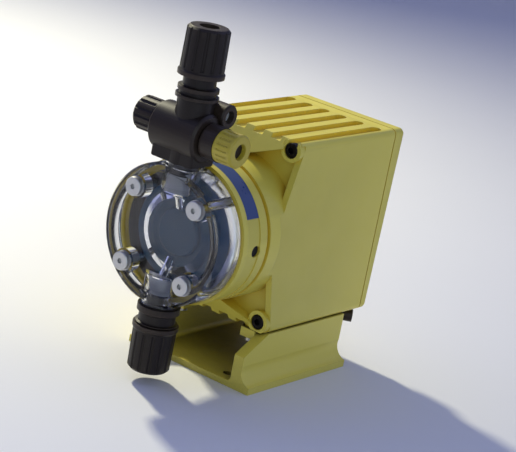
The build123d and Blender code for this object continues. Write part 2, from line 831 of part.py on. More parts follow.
def pole_frame():
    y0, y1 = frame_front_y, frame_rear_y
    inner, bore = frame_radius - frame_wall, bushing_radius + running_gap
    frame = turned_y((bore, y0), (frame_radius, y0), (frame_radius, y1), (inner, y1),
                     (inner, y0 + frame_plate), (bore, y0 + frame_plate))
    for x, z in spool_screw_places:
        frame -= rod(spool_screw_radius + running_gap, (x, y0, z), (x, y0 + spool_screw_depth, z))
    return frame


def pole_cap():
    y0, y1 = frame_rear_y - frame_cap, frame_rear_y
    inner, outer = stop_radius + running_gap, frame_radius - frame_wall - running_gap
    return turned_y((inner, y0), (outer, y0), (outer, y1), (inner, y1))


def coil_bobbin():
    y0 = frame_front_y + frame_plate
    y1 = y0 + bobbin_length
    tube, outer = bobbin_radius + bobbin_wall, frame_radius - frame_wall - face_gap
    return turned_y(
        (bobbin_radius, y0), (outer, y0), (outer, y0 + bobbin_flange), (tube, y0 + bobbin_flange),
        (tube, y1 - bobbin_flange), (outer, y1 - bobbin_flange), (outer, y1), (bobbin_radius, y1),
    )


def coil_winding():
    y0 = frame_front_y + frame_plate + bobbin_flange
    y1 = y0 + bobbin_length - 2 * bobbin_flange
    inner, outer = bobbin_radius + bobbin_wall + face_gap, frame_radius - frame_wall - 1
    return turned_y((inner, y0), (outer, y0), (outer, y1), (inner, y1))


def stroke_stop():
    """Stop screw that limits the armature's return; the stroke knob drives it."""
    return rod(stop_radius, (0, armature_rear_y + stop_clearance, axis_z),
               (0, knob_floor_y + knob_lift + stroke_knob_length / 2, axis_z))


# ---------------------------------------------------------------- rear controls
def control_knob(radius, length, z):
    y0 = knob_floor_y + knob_lift
    y1 = y0 + length
    knob = turned_y((0, y0), (radius, y0), (radius - knob_dome / 2, y1 - knob_dome),
                    (radius - 1.5 * knob_dome, y1), (0, y1), z=z)
    return fluted_y(knob, radius + knob_flute_radius / 3, knob_flute_count, knob_flute_radius,
                    y0 + 2 * knob_dome, y1 + overcut, z)


def stroke_knob():
    knob = control_knob(stroke_knob_radius, stroke_knob_length, axis_z)
    y0 = knob_floor_y + knob_lift
    knob += rod(stroke_hub_radius, (0, cover_front_y, axis_z), (0, y0, axis_z))
    bore_end = y0 + stroke_knob_length - knob_cap_wall
    return knob - rod(stop_radius + running_gap, (0, cover_front_y, axis_z), (0, bore_end, axis_z))


def speed_knob():
    knob = control_knob(speed_knob_radius, speed_knob_length, speed_z)
    y0 = knob_floor_y + knob_lift
    return knob - rod(speed_stem_radius + running_gap, (0, y0, speed_z), (0, y0 + speed_knob_length / 2, speed_z))


def speed_stem():
    end = knob_floor_y + knob_lift + speed_knob_length / 2 - running_gap
    return rod(speed_stem_radius, (0, board_rear_y - pot_gap - pot_length / 2, speed_z), (0, end, speed_z))


def speed_pot():
    y1 = board_rear_y - pot_gap
    pot = rod(pot_radius, (0, y1 - pot_length, speed_z), (0, y1, speed_z))
    pot += block(-pot_radius, pot_radius, y1 - pot_length, y1, speed_z, board_top_z - board_thickness)
    return pot - rod(speed_stem_radius + running_gap, (0, y1 - pot_length / 2 - 1, speed_z), (0, y1, speed_z))


def status_lens():
    y0 = cover_cavity_y - lens_flange
    slope = (cover_top_y - cover_bottom_y) / body_height
    y1 = cover_bottom_y + slope * (speed_z - body_bottom) + lens_proud
    return turned_y(
        (0, y0), (lens_flange_radius, y0), (lens_flange_radius, cover_cavity_y), (lens_radius, cover_cavity_y),
        (lens_radius, y1 - 1), (lens_radius - 1, y1), (0, y1), x=lens_x, z=speed_z,
    )


def circuit_board():
    board = block(-board_width / 2, board_width / 2, board_rear_y - board_length, board_rear_y,
                  board_top_z - board_thickness, board_top_z)
    for x, y in board_posts:
        board -= rod(board_screw_radius + face_gap, (x, y, board_top_z - board_thickness), (x, y, board_top_z))
    return board


def board_screws():
    seat_z = board_top_z - board_thickness
    return Compound([
        (rod(board_screw_head_radius, (x, y, seat_z - board_screw_head_length), (x, y, seat_z))
         + rod(board_screw_radius, (x, y, seat_z), (x, y, board_top_z + board_screw_depth - running_gap))).solid()
        for x, y in board_posts
    ])


# ---------------------------------------------------------------- tube fittings
def along(start_z, sign, *points):
    """Turned piece whose (radius, distance) points run up (+1) or down (-1) from start_z."""
    return turned_z(*[(r, start_z + sign * s) for r, s in points])


def coupling_nut(start_z, sign):
    shoulder = nut_length - nut_mouth_length
    nut = along(
        start_z, sign,
        (nut_inner_radius, 0), (nut_skirt_radius, 0), (nut_skirt_radius, nut_skirt - 1),
        (nut_base_radius, nut_skirt), (nut_tip_radius, nut_length - nut_edge),
        (nut_tip_radius - nut_edge, nut_length), (nut_mouth_radius, nut_length),
        (nut_mouth_radius, shoulder), (nut_inner_radius, shoulder),
    )
    for i in range(nut_groove_count):
        a = 360 * i / nut_groove_count
        foot, tip = nut_base_radius + nut_groove_radius / 3, nut_tip_radius + nut_groove_radius / 3
        nut -= rod(
            nut_groove_radius,
            (foot * cos(radians(a)), valve_y + foot * sin(radians(a)), start_z + sign * (nut_skirt + nut_groove_start)),
            (tip * cos(radians(a)), valve_y + tip * sin(radians(a)), start_z + sign * (nut_length + overcut)),
        )
    return nut


stub_top = nut_length - nut_mouth_length - nozzle_flange - nozzle_length


def tube_nozzle(start_z, sign):
    s = stub_top
    tip = s + nozzle_flange + nozzle_length - face_gap
    return along(
        start_z, sign,
        (nozzle_bore_radius, s), (nozzle_flange_radius, s), (nozzle_flange_radius, s + nozzle_flange),
        (nozzle_root_radius, s + nozzle_flange), (nozzle_tip_radius, tip), (nozzle_bore_radius, tip),
    )


def clamp_ring(start_z, sign):
    s = stub_top + nozzle_flange
    end = nut_length - nut_mouth_length
    return along(start_z, sign, (clamp_inner_radius, s), (clamp_radius, s), (clamp_radius, end), (clamp_inner_radius, end))


def check_ball(seat_z):
    centre_z = seat_z + sqrt(ball_radius**2 - seat_bore_radius**2) + running_gap
    return Pos(0, valve_y, centre_z) * Sphere(ball_radius)


def cartridge_ring(bore, bottom_z, length):
    """Plain ring of a valve cartridge."""
    top = bottom_z + length
    return turned_z((bore, bottom_z), (cartridge_radius, bottom_z), (cartridge_radius, top), (bore, top))


def ball_guide(bottom_z):
    top = bottom_z + guide_length
    bar = block(
        -guide_bore_radius - overcut, guide_bore_radius + overcut, valve_y - guide_bar / 2, valve_y + guide_bar / 2,
        top - guide_bar, top,
    )
    return cartridge_ring(guide_bore_radius, bottom_z, guide_length) + bar


suction_nut_z = axis_z - valve_clear - suction_body_length - suction_nut_gap
discharge_nut_z = axis_z + discharge_nut_start


def suction_valve_body():
    a = axis_z
    spigot_top = a - cartridge_end
    collar_top = a - valve_clear
    collar_bottom = collar_top - suction_body_length
    stub_bottom = suction_nut_z - stub_top
    return turned_z(
        (flow_radius, spigot_top), (spigot_radius, spigot_top), (spigot_radius, a - port_end),
        (collar_radius, a - port_end), (collar_radius, collar_top),
        (suction_body_radius, collar_top), (suction_body_radius, collar_top - suction_waist),
        (suction_waist_radius, collar_top - suction_waist - 1), (suction_waist_radius, collar_bottom + 1),
        (suction_body_radius, collar_bottom + 0.5), (suction_body_radius, collar_bottom),
        (stub_radius, collar_bottom), (stub_radius, stub_bottom), (flow_radius, stub_bottom),
    )


# ---------------------------------------------------------------- four-function valve
def four_way_body():
    a = axis_z
    spigot_bottom = a + cartridge_end
    stub_end = discharge_nut_z + stub_top
    block_bottom = a + port_end
    flange_1, flange_2 = a + column_top, a + second_flange
    column = turned_z(
        (0, spigot_bottom), (spigot_radius, spigot_bottom), (spigot_radius, block_bottom),
        (column_radius, block_bottom),
        (column_radius, flange_1), (thread_flange_radius, flange_1 + 0.4),
        (thread_flange_radius, flange_1 + thread_flange), (thread_groove_radius, flange_1 + thread_flange),
        (thread_groove_radius, flange_2), (second_flange_radius, flange_2),
        (second_flange_radius, flange_2 + thread_flange), (neck_radius, flange_2 + thread_flange + 0.4),
        (neck_radius, discharge_nut_z - 0.6), (stub_radius, discharge_nut_z - 0.6), (stub_radius, stub_end),
        (0, stub_end),
    )
    lower_block = block(
        -valve_block_left, valve_block_right, valve_y - valve_block_half, valve_y + valve_block_half,
        block_bottom, arm_z,
    )
    lower_block = fillet(lower_block.edges().filter_by(Axis.Z), valve_block_edge)
    lower_block = chamfer(lower_block.faces().sort_by(Axis.Z)[0].edges(), valve_block_edge / 2)
    arm = turned_x(
        (-arm_left, 0), (-arm_left, arm_radius - arm_edge), (-arm_left + arm_edge, arm_radius),
        (arm_right - arm_edge, arm_radius), (arm_right, arm_radius - arm_edge), (arm_right, 0),
    )
    port_y, port_z = valve_y + return_port_y, a + return_port_height
    port = turned_x(
        (return_port_start, 0), (return_port_start, return_port_radius), (return_port_end, return_port_radius),
        (return_port_end, return_stub_radius), (return_port_end + return_stub, return_stub_radius),
        (return_port_end + return_stub, 0), y=port_y, z=port_z,
    )
    valve = column + lower_block + arm + port
    nut_room = return_nut_radius + face_gap
    valve -= rod(nut_room, (return_port_end, port_y, port_z), (arm_right + overcut, port_y, port_z))
    valve += rod(return_stub_radius, (0, port_y, port_z), (return_port_end + return_stub, port_y, port_z))
    valve -= rod(room_radius, (-arm_left - overcut, valve_y, relief_z), (-relief_room_floor, valve_y, relief_z))
    valve -= rod(room_radius, (siphon_room_floor, valve_y, arm_z), (arm_right + overcut, valve_y, arm_z))
    valve -= rod(flow_radius, (0, valve_y, spigot_bottom), (0, valve_y, stub_end + overcut))
    valve -= rod(port_link_radius, (-relief_room_floor, valve_y, arm_z), (siphon_room_floor, valve_y, arm_z))
    valve -= rod(return_bore_radius, (0, port_y, port_z), (return_port_end + return_stub, port_y, port_z))
    return valve - rod(port_link_radius, (0, port_y, port_z), (0, valve_y, port_z))


def poppet(floor_x, sign, z):
    x0, x1 = sign * floor_x, sign * (floor_x + poppet_length)
    radius = room_radius - face_gap
    return turned_x((x0, 0), (x0, radius), (x1, radius), (x1, 0), z=z)


def valve_spring(floor_x, sign, z):
    start = (sign * (floor_x + poppet_length), valve_y, z)
    return coil_spring(valve_spring_radius, valve_spring_wire, valve_spring_turns,
                       start, (sign, 0, 0), valve_spring_length)


def relief_knob():
    x0 = -arm_left - knob_gap
    x1 = x0 - relief_knob_length
    hub = -relief_room_floor - poppet_length - valve_spring_length
    knob = turned_x(
        (hub, 0), (hub, room_radius - running_gap), (x0, room_radius - running_gap), (x0, relief_knob_radius),
        (x1 + relief_edge, relief_knob_radius), (x1, relief_knob_radius - relief_edge), (x1, 0), z=relief_z,
    )
    return fluted_x(knob, relief_knob_radius + relief_flute_radius / 3, relief_flute_count, relief_flute_radius,
                    x0 - relief_edge, x1 - overcut, relief_z)


def siphon_knob():
    x0 = arm_right + siphon_hub_length
    x1 = x0 + siphon_knob_length
    knob = turned_x(
        (x0, siphon_bore_radius), (x0, siphon_knob_radius), (x1 - siphon_edge, siphon_knob_radius),
        (x1, siphon_knob_radius - siphon_edge), (x1, siphon_bore_radius),
    )
    return fluted_x(knob, siphon_knob_radius + siphon_groove_radius / 3, siphon_groove_count,
                    siphon_groove_radius, x0 + 3 * siphon_edge, x1 - 3 * siphon_edge, arm_z)


def siphon_stem():
    start = siphon_room_floor + poppet_length + valve_spring_length
    x0, x1 = arm_right + knob_gap, arm_right + siphon_hub_length
    end = x1 + siphon_knob_length - stem_recess
    guide, pin = room_radius - running_gap, siphon_bore_radius - running_gap
    return turned_x(
        (start, 0), (start, guide), (x0, guide), (x0, siphon_hub_radius - siphon_edge),
        (x0 + siphon_edge, siphon_hub_radius), (x1, siphon_hub_radius), (x1, pin), (end, pin), (end, 0),
    )


def return_nut():
    x0 = return_port_end + knob_gap
    x1 = x0 + return_nut_length
    shoulder = x1 - return_mouth_length
    inner = return_stub_radius + face_gap
    return turned_x(
        (x0, inner), (x0, return_nut_radius), (x1 - return_nut_edge, return_nut_radius),
        (x1, return_nut_radius - return_nut_edge), (x1, return_mouth_radius), (shoulder, return_mouth_radius),
        (shoulder, inner), y=valve_y + return_port_y, z=axis_z + return_port_height,
    )


def return_ferrule():
    x0 = return_port_end + return_stub
    x1 = return_port_end + knob_gap + return_nut_length - return_mouth_length
    return turned_x(
        (x0, return_bore_radius), (x0, return_stub_radius), (x1, return_stub_radius), (x1, return_bore_radius),
        y=valve_y + return_port_y, z=axis_z + return_port_height,
    )


# ---------------------------------------------------------------- all pieces
suction_seat_z = axis_z - cartridge_start - guide_length - seat_length
discharge_seat_z = axis_z + cartridge_start

pieces = {
    "drive_housing": drive_housing(),
    "rear_gasket": rear_gasket(),
    "rear_cover": rear_cover(),
    "corner_screws": corner_screws(),
    "base_foot": base_foot(),
    "foot_screws": foot_screws(),
    "cord_gland": cord_gland(),
    "gland_nut": gland_nut(),
    "spool": spool(),
    "vent_plug": vent_plug(),
    "spool_screws": spool_screws(),
    "label_band": label_band(),
    "backing_ring": backing_ring(),
    "pump_head": pump_head(),
    "head_screws": head_screws(),
    "head_washers": head_washers(),
    "diaphragm": diaphragm(),
    "diaphragm_plate": diaphragm_plate(),
    "drive_shaft": drive_shaft(),
    "armature": armature(),
    "shaft_seal": shaft_seal(),
    "shaft_bushing": shaft_bushing(),
    "return_spring": return_spring(),
    "pole_frame": pole_frame(),
    "pole_cap": pole_cap(),
    "coil_bobbin": coil_bobbin(),
    "coil_winding": coil_winding(),
    "stroke_stop": stroke_stop(),
    "stroke_knob": stroke_knob(),
    "speed_knob": speed_knob(),
    "speed_stem": speed_stem(),
    "speed_pot": speed_pot(),
    "status_lens": status_lens(),
    "circuit_board": circuit_board(),
    "board_screws": board_screws(),
    "suction_valve_body": suction_valve_body(),
    "suction_seal_ring": cartridge_ring(
        seal_ring_bore_radius, suction_seat_z - seal_ring_length, seal_ring_length
    ),
    "suction_seat": cartridge_ring(seat_bore_radius, suction_seat_z, seat_length),
    "suction_ball_guide": ball_guide(suction_seat_z + seat_length),
    "suction_ball": check_ball(suction_seat_z + seat_length),
    "suction_nozzle": tube_nozzle(suction_nut_z, -1),
    "suction_clamp_ring": clamp_ring(suction_nut_z, -1),
    "suction_nut": coupling_nut(suction_nut_z, -1),
    "discharge_seat": cartridge_ring(seat_bore_radius, discharge_seat_z, seat_length),
    "discharge_ball_guide": ball_guide(discharge_seat_z + seat_length),
    "discharge_seal_ring": cartridge_ring(
        seal_ring_bore_radius, discharge_seat_z + seat_length + guide_length, seal_ring_length
    ),
    "discharge_ball": check_ball(discharge_seat_z + seat_length),
    "four_way_body": four_way_body(),
    "discharge_nozzle": tube_nozzle(discharge_nut_z, 1),
    "discharge_clamp_ring": clamp_ring(discharge_nut_z, 1),
    "discharge_nut": coupling_nut(discharge_nut_z, 1),
    "relief_poppet": poppet(relief_room_floor, -1, relief_z),
    "relief_spring": valve_spring(relief_room_floor, -1, relief_z),
    "relief_knob": relief_knob(),
    "siphon_poppet": poppet(siphon_room_floor, 1, arm_z),
    "siphon_spring": valve_spring(siphon_room_floor, 1, arm_z),
    "siphon_stem": siphon_stem(),
    "siphon_knob": siphon_knob(),
    "return_ferrule": return_ferrule(),
    "return_nut": return_nut(),
}

os.makedirs("parts", exist_ok=True)
for name, shape in pieces.items():
    export(name, shape)
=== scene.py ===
"""Looks for the diaphragm metering pump: camera, materials, stage, light, dials and copies that stand for
the spring and the diaphragm.
"""
import json
from functools import partial, reduce
from math import cos, pi, radians, sin

import bmesh
import bpy
from mathutils import Matrix, Vector


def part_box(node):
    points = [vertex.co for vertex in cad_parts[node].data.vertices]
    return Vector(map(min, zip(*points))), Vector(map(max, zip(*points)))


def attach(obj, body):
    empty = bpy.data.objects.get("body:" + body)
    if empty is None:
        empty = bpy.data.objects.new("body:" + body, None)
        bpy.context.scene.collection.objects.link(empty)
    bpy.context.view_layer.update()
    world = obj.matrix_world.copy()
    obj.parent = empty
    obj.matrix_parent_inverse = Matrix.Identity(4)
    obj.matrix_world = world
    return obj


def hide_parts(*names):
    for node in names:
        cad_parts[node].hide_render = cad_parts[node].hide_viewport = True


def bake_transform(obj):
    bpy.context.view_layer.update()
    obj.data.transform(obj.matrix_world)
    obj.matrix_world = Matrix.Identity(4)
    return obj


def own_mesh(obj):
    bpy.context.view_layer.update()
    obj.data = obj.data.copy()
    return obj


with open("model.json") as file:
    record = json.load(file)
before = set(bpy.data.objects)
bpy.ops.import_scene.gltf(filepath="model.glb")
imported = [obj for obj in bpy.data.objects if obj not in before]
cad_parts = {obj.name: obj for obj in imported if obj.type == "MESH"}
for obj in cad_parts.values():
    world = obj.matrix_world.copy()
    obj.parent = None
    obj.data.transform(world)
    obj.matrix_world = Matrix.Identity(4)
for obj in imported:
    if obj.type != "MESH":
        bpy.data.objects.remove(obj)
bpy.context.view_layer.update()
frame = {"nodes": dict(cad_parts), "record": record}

nodes = frame["nodes"]
MM = 0.001

slot_of = {subpart["node"]: subpart["material_slot"] for subpart in frame["record"]["subparts"]}


# ---------------------------------------------------------------- camera
# Solved from the photograph. AIM_ORIGIN is on the shaft's axis, and AIM_RIGHT and AIM_UP lead to the aim.
AZIMUTH, ELEVATION, ROLL = radians(34.67), radians(16.563), radians(11.003)
FOCAL_PX, WIDTH_PX = 2033.2, 516
DISTANCE = 1.24184
AIM_RIGHT, AIM_UP = 0.043568, 0.011487
AIM_ORIGIN = Vector((0, -0.081, 0.0962))
SENSOR = 36.0
CLIP_NEAR, CLIP_FAR = 0.05, 20


def place_camera():
    back = Vector((sin(AZIMUTH) * cos(ELEVATION), -cos(AZIMUTH) * cos(ELEVATION), sin(ELEVATION)))
    right = Vector((cos(AZIMUTH), sin(AZIMUTH), 0))
    up = back.cross(right)
    aim = AIM_ORIGIN + AIM_RIGHT * right + AIM_UP * up
    rolled_right = right * cos(ROLL) + up * sin(ROLL)
    rolled_up = up * cos(ROLL) - right * sin(ROLL)
    turn = Matrix((rolled_right, rolled_up, back)).transposed().to_4x4()
    camera = bpy.data.objects.new("camera", bpy.data.cameras.new("camera"))
    bpy.context.scene.collection.objects.link(camera)
    camera.matrix_world = Matrix.Translation(aim + back * DISTANCE) @ turn
    camera.data.sensor_width = SENSOR
    camera.data.lens = FOCAL_PX * SENSOR / WIDTH_PX
    camera.data.clip_start = CLIP_NEAR
    camera.data.clip_end = CLIP_FAR
    bpy.context.scene.camera = camera


# ---------------------------------------------------------------- shader nodes
OCCLUSION_SAMPLES = 8
BEVEL_SAMPLES = 4

# Pointiness at which an edge begins to look worn, and at which it is worn all the way.
WORN_FROM, WORN_TO = 0.52, 0.60

# A knob's pointer starts at this share of its radius.
POINTER_START, POINTER_WIDTH, POINTER_DEPTH = 0.25, 1.3 * MM, 0.4 * MM


def knob_middle(node):
    """Middle x, middle z and radius of a knob that turns about +Y."""
    low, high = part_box(node)
    return (low[0] + high[0]) / 2, (low[2] + high[2]) / 2, (high[0] - low[0]) / 2


class Tree:
    """Adds and links the nodes of a material or a world."""

    def __init__(self, owner):
        owner.use_nodes = True
        self.tree = owner.node_tree
        self.tree.nodes.clear()

    def add(self, kind, **settings):
        node = self.tree.nodes.new(kind)
        for key, value in settings.items():
            setattr(node, key, value)
        return node

    def link(self, source, target):
        self.tree.links.new(source, target)

    def feed(self, value, socket):
        """Links an output to the socket, or sets the socket to a number or an RGB colour."""
        if isinstance(value, bpy.types.NodeSocket):
            self.link(value, socket)
        elif isinstance(value, tuple):
            socket.default_value = (*value, 1)
        else:
            socket.default_value = value

    def math(self, operation, first, second):
        node = self.add("ShaderNodeMath", operation=operation)
        self.feed(first, node.inputs[0])
        self.feed(second, node.inputs[1])
        return node.outputs["Value"]

    def dot(self, vector, direction):
        node = self.add("ShaderNodeVectorMath", operation="DOT_PRODUCT")
        self.link(vector, node.inputs[0])
        node.inputs[1].default_value = direction
        return node.outputs["Value"]

    def ramp(self, source, low, high, start=0.3, end=0.7):
        """low where source is start, high where it is end, and even between them."""
        node = self.add("ShaderNodeMapRange")
        node.inputs["From Min"].default_value = start
        node.inputs["From Max"].default_value = end
        node.inputs["To Min"].default_value = low
        node.inputs["To Max"].default_value = high
        self.link(source, node.inputs["Value"])
        return node.outputs["Result"]

    def mix(self, factor, first, second):
        """Colour from first to second. Inputs 6 and 7 and output 2 are the mix node's colours."""
        node = self.add("ShaderNodeMix", data_type="RGBA")
        self.link(factor, node.inputs["Factor"])
        self.feed(first, node.inputs[6])
        self.feed(second, node.inputs[7])
        return node.outputs[2]


class Surface(Tree):
    """A new material around one principled shader."""

    def __init__(self, name):
        self.material = bpy.data.materials.new(name)
        super().__init__(self.material)
        self.shader = self.add("ShaderNodeBsdfPrincipled")
        output = self.add("ShaderNodeOutputMaterial")
        self.link(self.shader.outputs["BSDF"], output.inputs["Surface"])

    def set(self, name, value):
        self.feed(value, self.shader.inputs[name])

    def coordinates(self):
        return self.add("ShaderNodeTexCoord").outputs["Object"]

    def noise(self, scale, detail=4.0, roughness=0.55, vector=None):
        node = self.add("ShaderNodeTexNoise")
        node.inputs["Scale"].default_value = scale
        node.inputs["Detail"].default_value = detail
        node.inputs["Roughness"].default_value = roughness
        self.link(vector or self.coordinates(), node.inputs["Vector"])
        return node.outputs["Fac"]

    def worn_edges(self):
        """1 on worn convex edges, 0 elsewhere."""
        pointiness = self.add("ShaderNodeNewGeometry").outputs["Pointiness"]
        return self.ramp(pointiness, 0.0, 1.0, WORN_FROM, WORN_TO)

    def openness(self, reach, closed, clear_of):
        """0 where the open share within reach is closed or less, 1 where it is clear_of or more; the mask of
        painted shade in hollows.
        """
        node = self.add("ShaderNodeAmbientOcclusion", samples=OCCLUSION_SAMPLES)
        node.inputs["Distance"].default_value = reach
        return self.ramp(node.outputs["AO"], 0.0, 1.0, closed, clear_of)

    def pointer_line(self, node, angle):
        """1 on a printed line from near the middle of a knob's end face to its rim, 0 elsewhere."""
        middle_x, middle_z, radius = knob_middle(node)
        end_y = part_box(node)[1][1]
        place = self.add("ShaderNodeVectorMath", operation="SUBTRACT")
        self.link(self.coordinates(), place.inputs[0])
        place.inputs[1].default_value = (middle_x, end_y, middle_z)
        outward = Vector((cos(radians(angle)), 0, sin(radians(angle))))
        across = Vector((-outward.z, 0, outward.x))
        limits = (
            (outward, POINTER_START * radius),
            (across, -POINTER_WIDTH / 2),
            (-across, -POINTER_WIDTH / 2),
            (Vector((0, 1, 0)), -POINTER_DEPTH),
        )
        beyond = [
            self.math("GREATER_THAN", self.dot(place.outputs["Vector"], direction), limit)
            for direction, limit in limits
        ]
        return reduce(partial(self.math, "MULTIPLY"), beyond)

    def bump(self, height, strength, distance, round_edges=0.0):
        """Fine relief. Sharp edges are shaded as if rounded to round_edges."""
        node = self.add("ShaderNodeBump")
        node.inputs["Strength"].default_value = strength
        node.inputs["Distance"].default_value = distance
        self.link(height, node.inputs["Height"])
        if round_edges:
            bevel = self.add("ShaderNodeBevel", samples=BEVEL_SAMPLES)
            bevel.inputs["Radius"].default_value = round_edges
            self.link(bevel.outputs["Normal"], node.inputs["Normal"])
        self.link(node.outputs["Normal"], self.shader.inputs["Normal"])


# ---------------------------------------------------------------- materials
# Noise scales are per metre. Factors multiply a look's own colour or roughness, and offsets are added to it.
TONE_SCALE, TONE_FACTORS = 14.0, (0.94, 1.05)
GLOSS_SCALE, GLOSS_OFFSETS = 90.0, (-0.05, 0.07)
STREAK_FACTOR, STREAK_OFFSETS = 0.8, (-0.06, 0.08)
STREAK_STRENGTH, METAL_EDGE = 0.15, 0.3 * MM
HAZE_SCALE, HAZE_FACTORS = 160.0, (0.5, 1.5)
RIPPLE_SCALE, RIPPLE_STRENGTH, RIPPLE_DEPTH = 70.0, 0.05, 0.1 * MM
CLEAR_IOR, CLEAR_SPECULAR = 1.42, 0.35

YELLOW = (0.75, 0.65, 0.10)
BLACK = (0.0190, 0.0134, 0.0092)
PRINT_WHITE = (0.72, 0.72, 0.68)

# Painted shade in hollows: the shade colour painted deep in a hollow, how far it looks for walls, and the
# open shares at which it is full and gone.
GROOVE_PAINTED_SHADE = {"color": (0.72, 0.52, 0.035), "reach": 12 * MM, "closed": 0.20, "clear_of": 0.85}
FOOT_PAINTED_SHADE = {"color": (0.06, 0.045, 0.012), "reach": 60 * MM, "closed": 0.15, "clear_of": 0.55}

# Where each dial's ticks start and end, in degrees from +X towards +Z. The pointer rests at the start.
STROKE_ANGLES, SPEED_ANGLES = (225, -45), (240, -60)


def shade(color, factor):
    return tuple(channel * factor for channel in color)


def moulded(
    name, color, rough, grain=1800.0, depth=0.04 * MM, worn=1.12,
    strength=0.25, specular=0.5, edge=0.6 * MM, hollow_shade=None, pointer=None,
):
    """Moulded plastic: slow tone changes, paler worn edges, optional painted shade deep in hollows, fine
    grain and slightly uneven gloss.

    pointer is a knob's node and the angle of the line printed on its end face.
    """
    surface = Surface(name)
    slow = surface.ramp(surface.noise(TONE_SCALE), 0.0, 1.0)
    tone = surface.mix(slow, shade(color, TONE_FACTORS[0]), shade(color, TONE_FACTORS[1]))
    tone = surface.mix(surface.worn_edges(), tone, shade(color, worn))
    # Painted shade: the colour turns to the shade colour where nearby walls close the surface in.
    if hollow_shade:
        openness = surface.openness(hollow_shade["reach"], hollow_shade["closed"], hollow_shade["clear_of"])
        tone = surface.mix(openness, hollow_shade["color"], tone)
    if pointer:
        tone = surface.mix(surface.pointer_line(*pointer), tone, PRINT_WHITE)
    surface.set("Base Color", tone)
    gloss = surface.ramp(surface.noise(GLOSS_SCALE), rough + GLOSS_OFFSETS[0], rough + GLOSS_OFFSETS[1])
    surface.set("Roughness", gloss)
    surface.set("Specular IOR Level", specular)
    surface.bump(surface.noise(grain, detail=2.0), strength, depth, edge)
    return surface.material


def metal(name, color, rough, across=900.0, along=60.0, depth=0.03 * MM):
    """Machined or drawn metal. across and along are the noise scales across and along its streaks in Y."""
    surface = Surface(name)
    stretch = surface.add("ShaderNodeMapping")
    stretch.inputs["Scale"].default_value = (across, along, across)
    surface.link(surface.coordinates(), stretch.inputs["Vector"])
    streaks = surface.noise(1.0, detail=2.0, roughness=0.5, vector=stretch.outputs["Vector"])
    surface.set("Base Color", surface.mix(streaks, shade(color, STREAK_FACTOR), color))
    gloss = surface.ramp(streaks, rough + STREAK_OFFSETS[0], rough + STREAK_OFFSETS[1])
    surface.set("Roughness", gloss)
    surface.set("Metallic", 1.0)
    surface.bump(streaks, STREAK_STRENGTH, depth, METAL_EDGE)
    return surface.material


def clear(name, tint, rough):
    """Clear machined plastic with faint polishing haze and ripples."""
    surface = Surface(name)
    surface.set("Base Color", tint)
    surface.set("Transmission Weight", 1.0)
    surface.set("IOR", CLEAR_IOR)
    surface.set("Specular IOR Level", CLEAR_SPECULAR)
    haze = surface.ramp(surface.noise(HAZE_SCALE), rough * HAZE_FACTORS[0], rough * HAZE_FACTORS[1])
    surface.set("Roughness", haze)
    surface.bump(surface.noise(RIPPLE_SCALE, detail=3.0), RIPPLE_STRENGTH, RIPPLE_DEPTH)
    return surface.material


def black_knob(node, angle):
    return moulded(node, BLACK, 0.40, grain=1400.0, specular=0.30, pointer=(node, angle))


LOOKS = {
    # Painted shade: the housing turns darker and more golden deep in its grooves.
    "housing_yellow": moulded("housing_yellow", YELLOW, 0.38, depth=0.03 * MM, hollow_shade=GROOVE_PAINTED_SHADE),
    # Painted shade: the foot turns near black deep in its channel, darker than its light makes it.
    "foot_yellow_painted_shade": moulded("foot_yellow_painted_shade", YELLOW, 0.38, depth=0.03 * MM, hollow_shade=FOOT_PAINTED_SHADE),
    "knob_yellow": moulded("knob_yellow", (0.52, 0.42, 0.04), 0.34),
    "black_plastic": moulded("black_plastic", BLACK, 0.40, grain=1400.0, worn=2.6, specular=0.30),
    "stroke_knob": black_knob("stroke_knob", STROKE_ANGLES[0]),
    "speed_knob": black_knob("speed_knob", SPEED_ANGLES[0]),
    "clear_acrylic": clear("clear_acrylic", (0.80, 0.81, 0.83), 0.09),
    "blue_label": moulded("blue_label", (0.041, 0.076, 0.200), 0.30, grain=600.0, edge=0.0),
    "grey_plastic": moulded("grey_plastic", (0.52, 0.54, 0.56), 0.45),
    "white_plastic": moulded("white_plastic", (0.62, 0.63, 0.66), 0.38),
    # Painted reflection: the diaphragm's face is coloured deep blue for the sky it reflects through the
    # clear head.
    "diaphragm_face": moulded("diaphragm_face", (0.015, 0.084, 0.180), 0.36, grain=900.0),
    "steel": metal("steel", (0.66, 0.66, 0.65), 0.28),
    "screw_face": metal("screw_face", (0.72, 0.72, 0.70), 0.46, across=500.0, along=500.0, depth=0.01 * MM),
    "black_steel": metal("black_steel", (0.030, 0.028, 0.027), 0.38),
    "magnet_steel": metal("magnet_steel", (0.40, 0.40, 0.41), 0.42),
    "bronze": metal("bronze", (0.50, 0.33, 0.15), 0.45),
    "copper_wire": metal("copper_wire", (0.55, 0.22, 0.09), 0.30),
    "black_rubber": moulded("black_rubber", (0.010, 0.010, 0.010), 0.62, specular=0.3),
    "tan_gasket": moulded("tan_gasket", (0.30, 0.26, 0.08), 0.70),
    "red_lens": moulded("red_lens", (0.45, 0.015, 0.010), 0.15, strength=0.05),
    "circuit_board": moulded("circuit_board", (0.015, 0.12, 0.05), 0.35),
    "ceramic": moulded("ceramic", (0.80, 0.78, 0.72), 0.18, strength=0.05),
    "print_black": moulded("print_black", (0.015, 0.015, 0.014), 0.55, edge=0.0),
}

# Nodes that don't wear the look of their slot.
OWN_LOOK = {
    # The foot wears the yellow with painted shade in its channel.
    "base_foot": "foot_yellow_painted_shade",
    "head_screws": "screw_face",
    "stroke_knob": "stroke_knob",
    "speed_knob": "speed_knob",
}


def paint(obj, look):
    obj.data.materials.clear()
    obj.data.materials.append(LOOKS[look])


def paint_nodes():
    for name, obj in nodes.items():
        paint(obj, OWN_LOOK.get(name, slot_of[name]))


